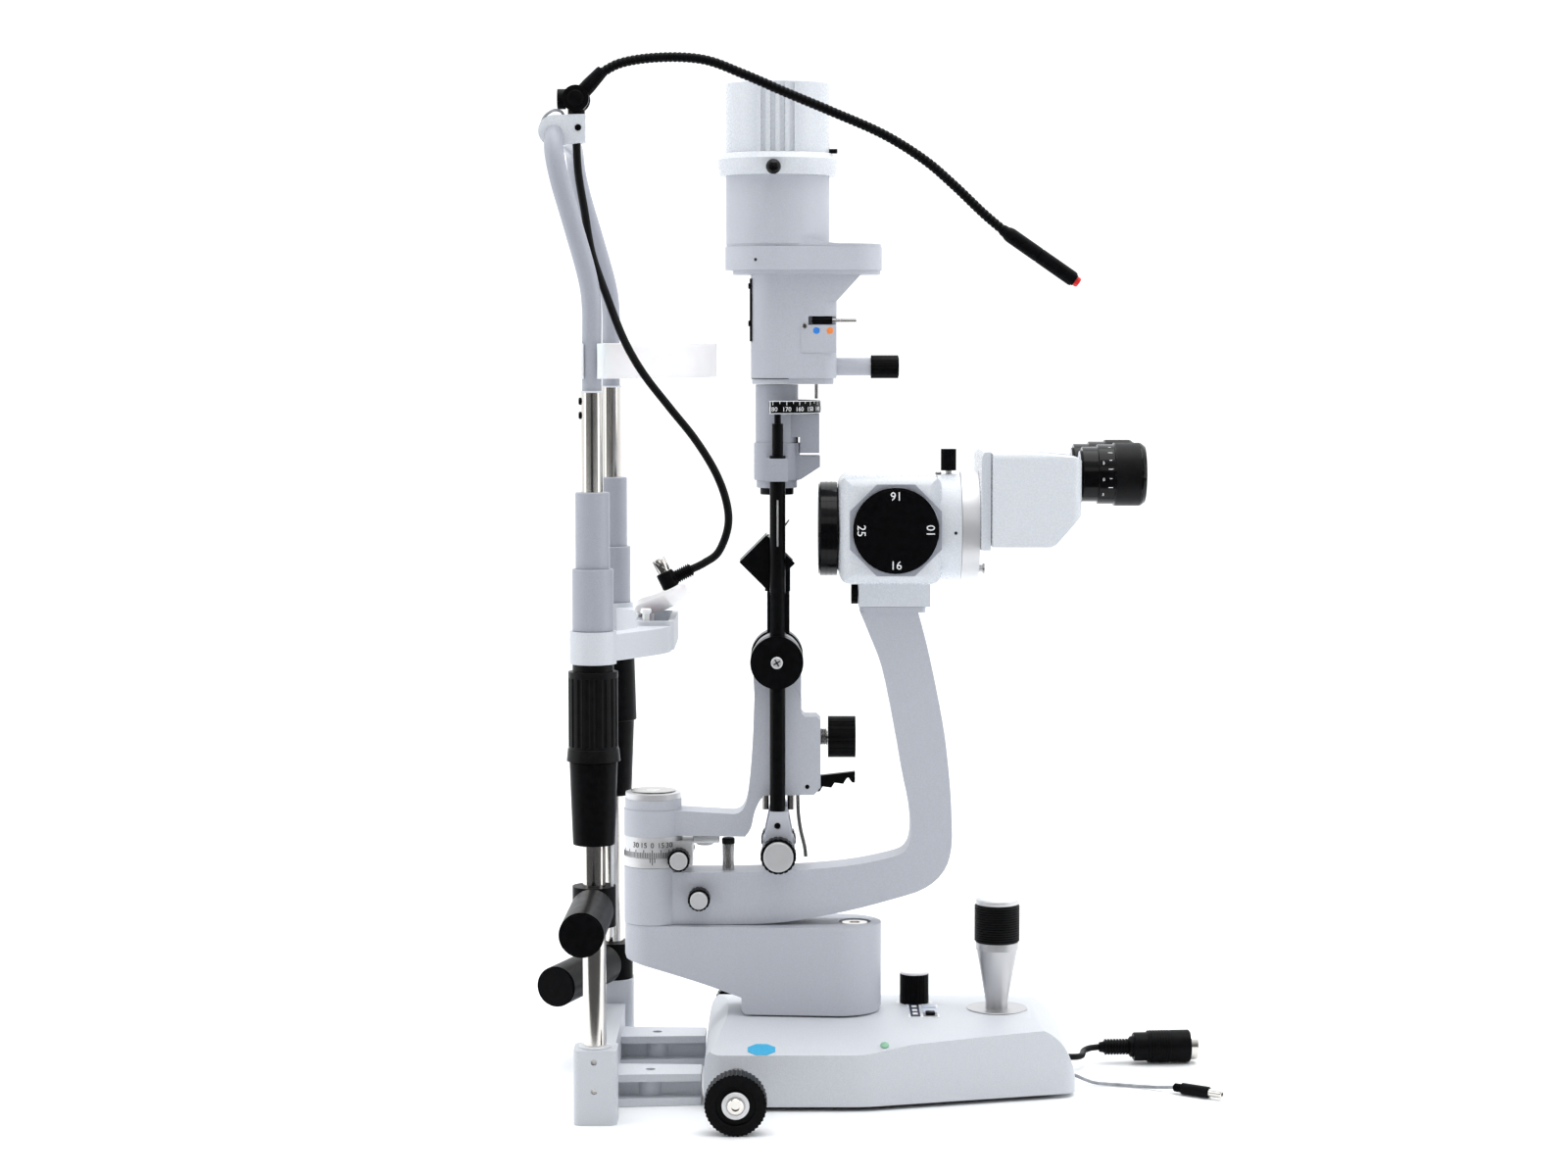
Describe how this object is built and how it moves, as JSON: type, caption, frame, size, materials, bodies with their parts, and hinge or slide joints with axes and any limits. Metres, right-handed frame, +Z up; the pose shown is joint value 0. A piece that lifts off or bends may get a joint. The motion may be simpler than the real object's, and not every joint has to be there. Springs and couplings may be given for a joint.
{
  "type": "slit lamp",
  "caption": "Table slit lamp with head rest, swinging lamp tower and binocular microscope on a joystick base that rolls on a cross axle.",
  "frame": {"origin": "on the table top, midway between the head rest's two table bolts, below the common axis of the two arms", "axes": "+X from the patient to the examiner, +Y to the far side, +Z up"},
  "size_m": [0.4632, 0.3802, 0.6879],
  "materials": {
    "paint": "light bluish grey texture paint, satin",
    "frame_paint": "light grey gloss paint",
    "black_metal": "black satin enamel",
    "black_plastic": "black moulded plastic, fine texture",
    "rubber": "black rubber",
    "chrome": "bright nickel plating",
    "satin_metal": "satin anodised",
    "steel": "ground steel",
    "strap": "white woven strap",
    "cup": "white moulded plastic",
    "cable": "black cable jacket",
    "grey_cable": "grey cable jacket"
  },
  "bodies": {
    "headrest": {"table_bracket": "paint", "column_tubes": "chrome", "lower_sleeves": "black_plastic", "guide_sleeves": "paint", "upper_frame": "frame_paint", "forehead_band": "strap", "fixation_cord": "cable", "cord_plug": "black_plastic"},
    "chin_rest": {"chin_arm": "paint", "chin_cup": "cup", "sliding_sleeves": "paint"},
    "height_grip": {"height_grip": "black_plastic"},
    "near_handle": {"near_handle": "rubber"},
    "far_handle": {"far_handle": "rubber"},
    "fixation_swivel": {"lamp_knuckle": "black_plastic"},
    "fixation_arm": {"gooseneck": "steel", "fixation_handle": "black_plastic"},
    "axle": {"cross_axle": "chrome"},
    "wheels": {"wheels": "rubber"},
    "base": {"base_cover": "paint", "base_plate": "black_plastic", "power_cable": "cable", "power_connector": "black_plastic", "dc_lead": "grey_cable", "dc_plug": "black_plastic"},
    "brightness_knob": {"brightness_knob": "black_plastic"},
    "joystick_ball": {"joystick_ball": "satin_metal"},
    "joystick_stem": {"joystick_stem": "satin_metal"},
    "joystick_grip": {"joystick_grip": "black_plastic"},
    "lift": {"bearing_block": "paint", "guide_posts": "steel"},
    "microscope_arm": {"microscope_arm": "paint", "microscope_body": "paint", "objective_ring": "black_metal", "binocular_ring": "satin_metal"},
    "arm_lock_knob": {"arm_lock_knob": "black_plastic"},
    "illumination_arm": {"illumination_arm": "paint", "degree_ring": "satin_metal"},
    "lamp_lock_knob": {"lamp_lock_knob": "black_plastic"},
    "tower": {"tower_rods": "black_metal", "slit_mirror": "black_metal", "gearbox": "paint", "tower_neck": "paint", "filter_pocket": "paint", "angle_scale": "black_metal"},
    "slit_width_knobs": {"slit_width_knobs": "black_plastic"},
    "centering_knob": {"centering_knob": "black_plastic"},
    "tilt_latch": {"tilt_latch": "black_metal"},
    "head": {"head_body": "paint", "lamp_drum": "paint", "lamp_cover": "paint"},
    "filter_lever": {"filter_lever": "black_metal"},
    "aperture_knob": {"aperture_knob": "black_plastic"},
    "magnification_drum": {"magnification_drum": "black_metal"},
    "near_housing": {"near_housing": "paint"},
    "far_housing": {"far_housing": "paint"},
    "near_eyepiece": {"near_eyepiece": "rubber"},
    "far_eyepiece": {"far_eyepiece": "rubber"},
    "mount_knob": {"mount_knob": "black_plastic"},
    "top_knob": {"top_knob": "black_plastic"}
  },
  "joints": [
    {"name": "chin_lift", "type": "slide", "parent": "headrest", "child": "chin_rest", "axis": [0, 0, 1], "range_m": [0, 0.035]},
    {"name": "height_grip_turn", "type": "hinge", "parent": "headrest", "child": "height_grip", "pos_m": [-0.0337, -0.115, 0.265], "axis": [0, 0, 1], "range_deg": [0, 1261]},
    {"name": "near_handle_swing", "type": "hinge", "parent": "headrest", "child": "near_handle", "pos_m": [-0.0337, -0.115, 0.141], "axis": [0, 0, 1], "range_deg": [-80, 80]},
    {"name": "far_handle_swing", "type": "hinge", "parent": "headrest", "child": "far_handle", "pos_m": [-0.0337, 0.115, 0.0615], "axis": [0, 0, 1], "range_deg": [-70, 25]},
    {"name": "fixation_swivel_turn", "type": "hinge", "parent": "headrest", "child": "fixation_swivel", "pos_m": [-0.044, -0.095, 0.655], "axis": [0, 0, 1], "range_deg": [-110, 5]},
    {"name": "fixation_arm_tilt", "type": "hinge", "parent": "fixation_swivel", "child": "fixation_arm", "pos_m": [-0.044, -0.095, 0.6585], "axis": [0, 1, 0], "range_deg": [-25, 20]},
    {"name": "axle_roll", "type": "slide", "parent": "headrest", "child": "axle", "axis": [1, 0, 0], "range_m": [0, 0.09]},
    {"name": "wheel_turn", "type": "hinge", "parent": "axle", "child": "wheels", "pos_m": [0.058, 0, 0.02], "axis": [0, 1, 0], "range_deg": [0, 259]},
    {"name": "base_cross", "type": "slide", "parent": "axle", "child": "base", "axis": [0, 1, 0], "range_m": [-0.045, 0.045]},
    {"name": "brightness_turn", "type": "hinge", "parent": "base", "child": "brightness_knob", "pos_m": [0.1785, 0.02, 0.06], "axis": [0, 0, 1], "range_deg": [-135, 135]},
    {"name": "joystick_lean_x", "type": "hinge", "parent": "base", "child": "joystick_ball", "pos_m": [0.234, 0, 0.0335], "axis": [0, 1, 0], "range_deg": [-12, 12]},
    {"name": "joystick_lean_y", "type": "hinge", "parent": "joystick_ball", "child": "joystick_stem", "pos_m": [0.234, 0, 0.0335], "axis": [1, 0, 0], "range_deg": [-12, 12]},
    {"name": "joystick_turn", "type": "hinge", "parent": "joystick_stem", "child": "joystick_grip", "pos_m": [0.234, 0, 0.11], "axis": [0, 0, 1], "range_deg": [0, 1081]},
    {"name": "lift_rise", "type": "slide", "parent": "base", "child": "lift", "axis": [0, 0, 1], "range_m": [0, 0.03]},
    {"name": "microscope_swing", "type": "hinge", "parent": "lift", "child": "microscope_arm", "pos_m": [0, 0, 0.13], "axis": [0, 0, 1], "range_deg": [-35, 60]},
    {"name": "arm_lock_turn", "type": "hinge", "parent": "microscope_arm", "child": "arm_lock_knob", "pos_m": [0.0315, -0.0165, 0.129], "axis": [0, 1, 0], "range_deg": [0, 180]},
    {"name": "illumination_swing", "type": "hinge", "parent": "lift", "child": "illumination_arm", "pos_m": [0, 0, 0.178], "axis": [0, 0, 1], "range_deg": [-30, 50]},
    {"name": "lamp_lock_turn", "type": "hinge", "parent": "illumination_arm", "child": "lamp_lock_knob", "pos_m": [0.018, -0.0175, 0.156], "axis": [0, 1, 0], "range_deg": [0, 180]},
    {"name": "tower_tilt", "type": "hinge", "parent": "illumination_arm", "child": "tower", "pos_m": [0.084, 0, 0.29], "axis": [0, 1, 0], "range_deg": [0, 5]},
    {"name": "slit_width_turn", "type": "hinge", "parent": "tower", "child": "slit_width_knobs", "pos_m": [0.085, 0, 0.161], "axis": [0, 1, 0], "range_deg": [0, 300]},
    {"name": "centering_turn", "type": "hinge", "parent": "illumination_arm", "child": "centering_knob", "pos_m": [0.128, 0, 0.2366], "axis": [1, 0, 0], "range_deg": [-180, 180]},
    {"name": "latch_release", "type": "hinge", "parent": "illumination_arm", "child": "tilt_latch", "pos_m": [0.1045, 0, 0.204], "axis": [0, 1, 0], "range_deg": [0, 8], "stiffness_Nm_per_rad": 0.2},
    {"name": "head_turn", "type": "hinge", "parent": "tower", "child": "head", "pos_m": [0.084, 0, 0.5], "axis": [0, 0, 1], "range_deg": [-90, 90]},
    {"name": "filter_slide", "type": "slide", "parent": "head", "child": "filter_lever", "axis": [1, 0, 0], "range_m": [0, 0.01]},
    {"name": "aperture_turn", "type": "hinge", "parent": "head", "child": "aperture_knob", "pos_m": [0.155, 0, 0.487], "axis": [1, 0, 0], "continuous": true},
    {"name": "magnification_turn", "type": "hinge", "parent": "microscope_arm", "child": "magnification_drum", "pos_m": [0.163, 0, 0.379], "axis": [0, 1, 0], "continuous": true},
    {"name": "near_pupil_slide", "type": "slide", "parent": "microscope_arm", "child": "near_housing", "axis": [0, 1, 0], "range_m": [-0.005, 0.005]},
    {"name": "far_pupil_slide", "type": "slide", "parent": "microscope_arm", "child": "far_housing", "axis": [0, 1, 0], "range_m": [-0.005, 0.005]},
    {"name": "near_focus_turn", "type": "hinge", "parent": "near_housing", "child": "near_eyepiece", "pos_m": [0.31, -0.032, 0.416], "axis": [1, 0, 0], "range_deg": [-150, 150]},
    {"name": "far_focus_turn", "type": "hinge", "parent": "far_housing", "child": "far_eyepiece", "pos_m": [0.31, 0.032, 0.416], "axis": [1, 0, 0], "range_deg": [-150, 150]},
    {"name": "mount_knob_turn", "type": "hinge", "parent": "microscope_arm", "child": "mount_knob", "pos_m": [0.136, 0, 0.3337], "axis": [1, 0, 0], "range_deg": [0, 180]},
    {"name": "top_knob_turn", "type": "hinge", "parent": "microscope_arm", "child": "top_knob", "pos_m": [0.1997, 0, 0.424], "axis": [0, 0, 1], "range_deg": [0, 180]}
  ],
  "couplings": [
    {"joint": "height_grip_turn", "follows": "chin_lift", "rad_per_m": 628.32},
    {"joint": "wheel_turn", "follows": "axle_roll", "rad_per_m": 50},
    {"joint": "joystick_turn", "follows": "lift_rise", "rad_per_m": 628.32},
    {"joint": "far_pupil_slide", "follows": "near_pupil_slide", "ratio": -1}
  ]
}
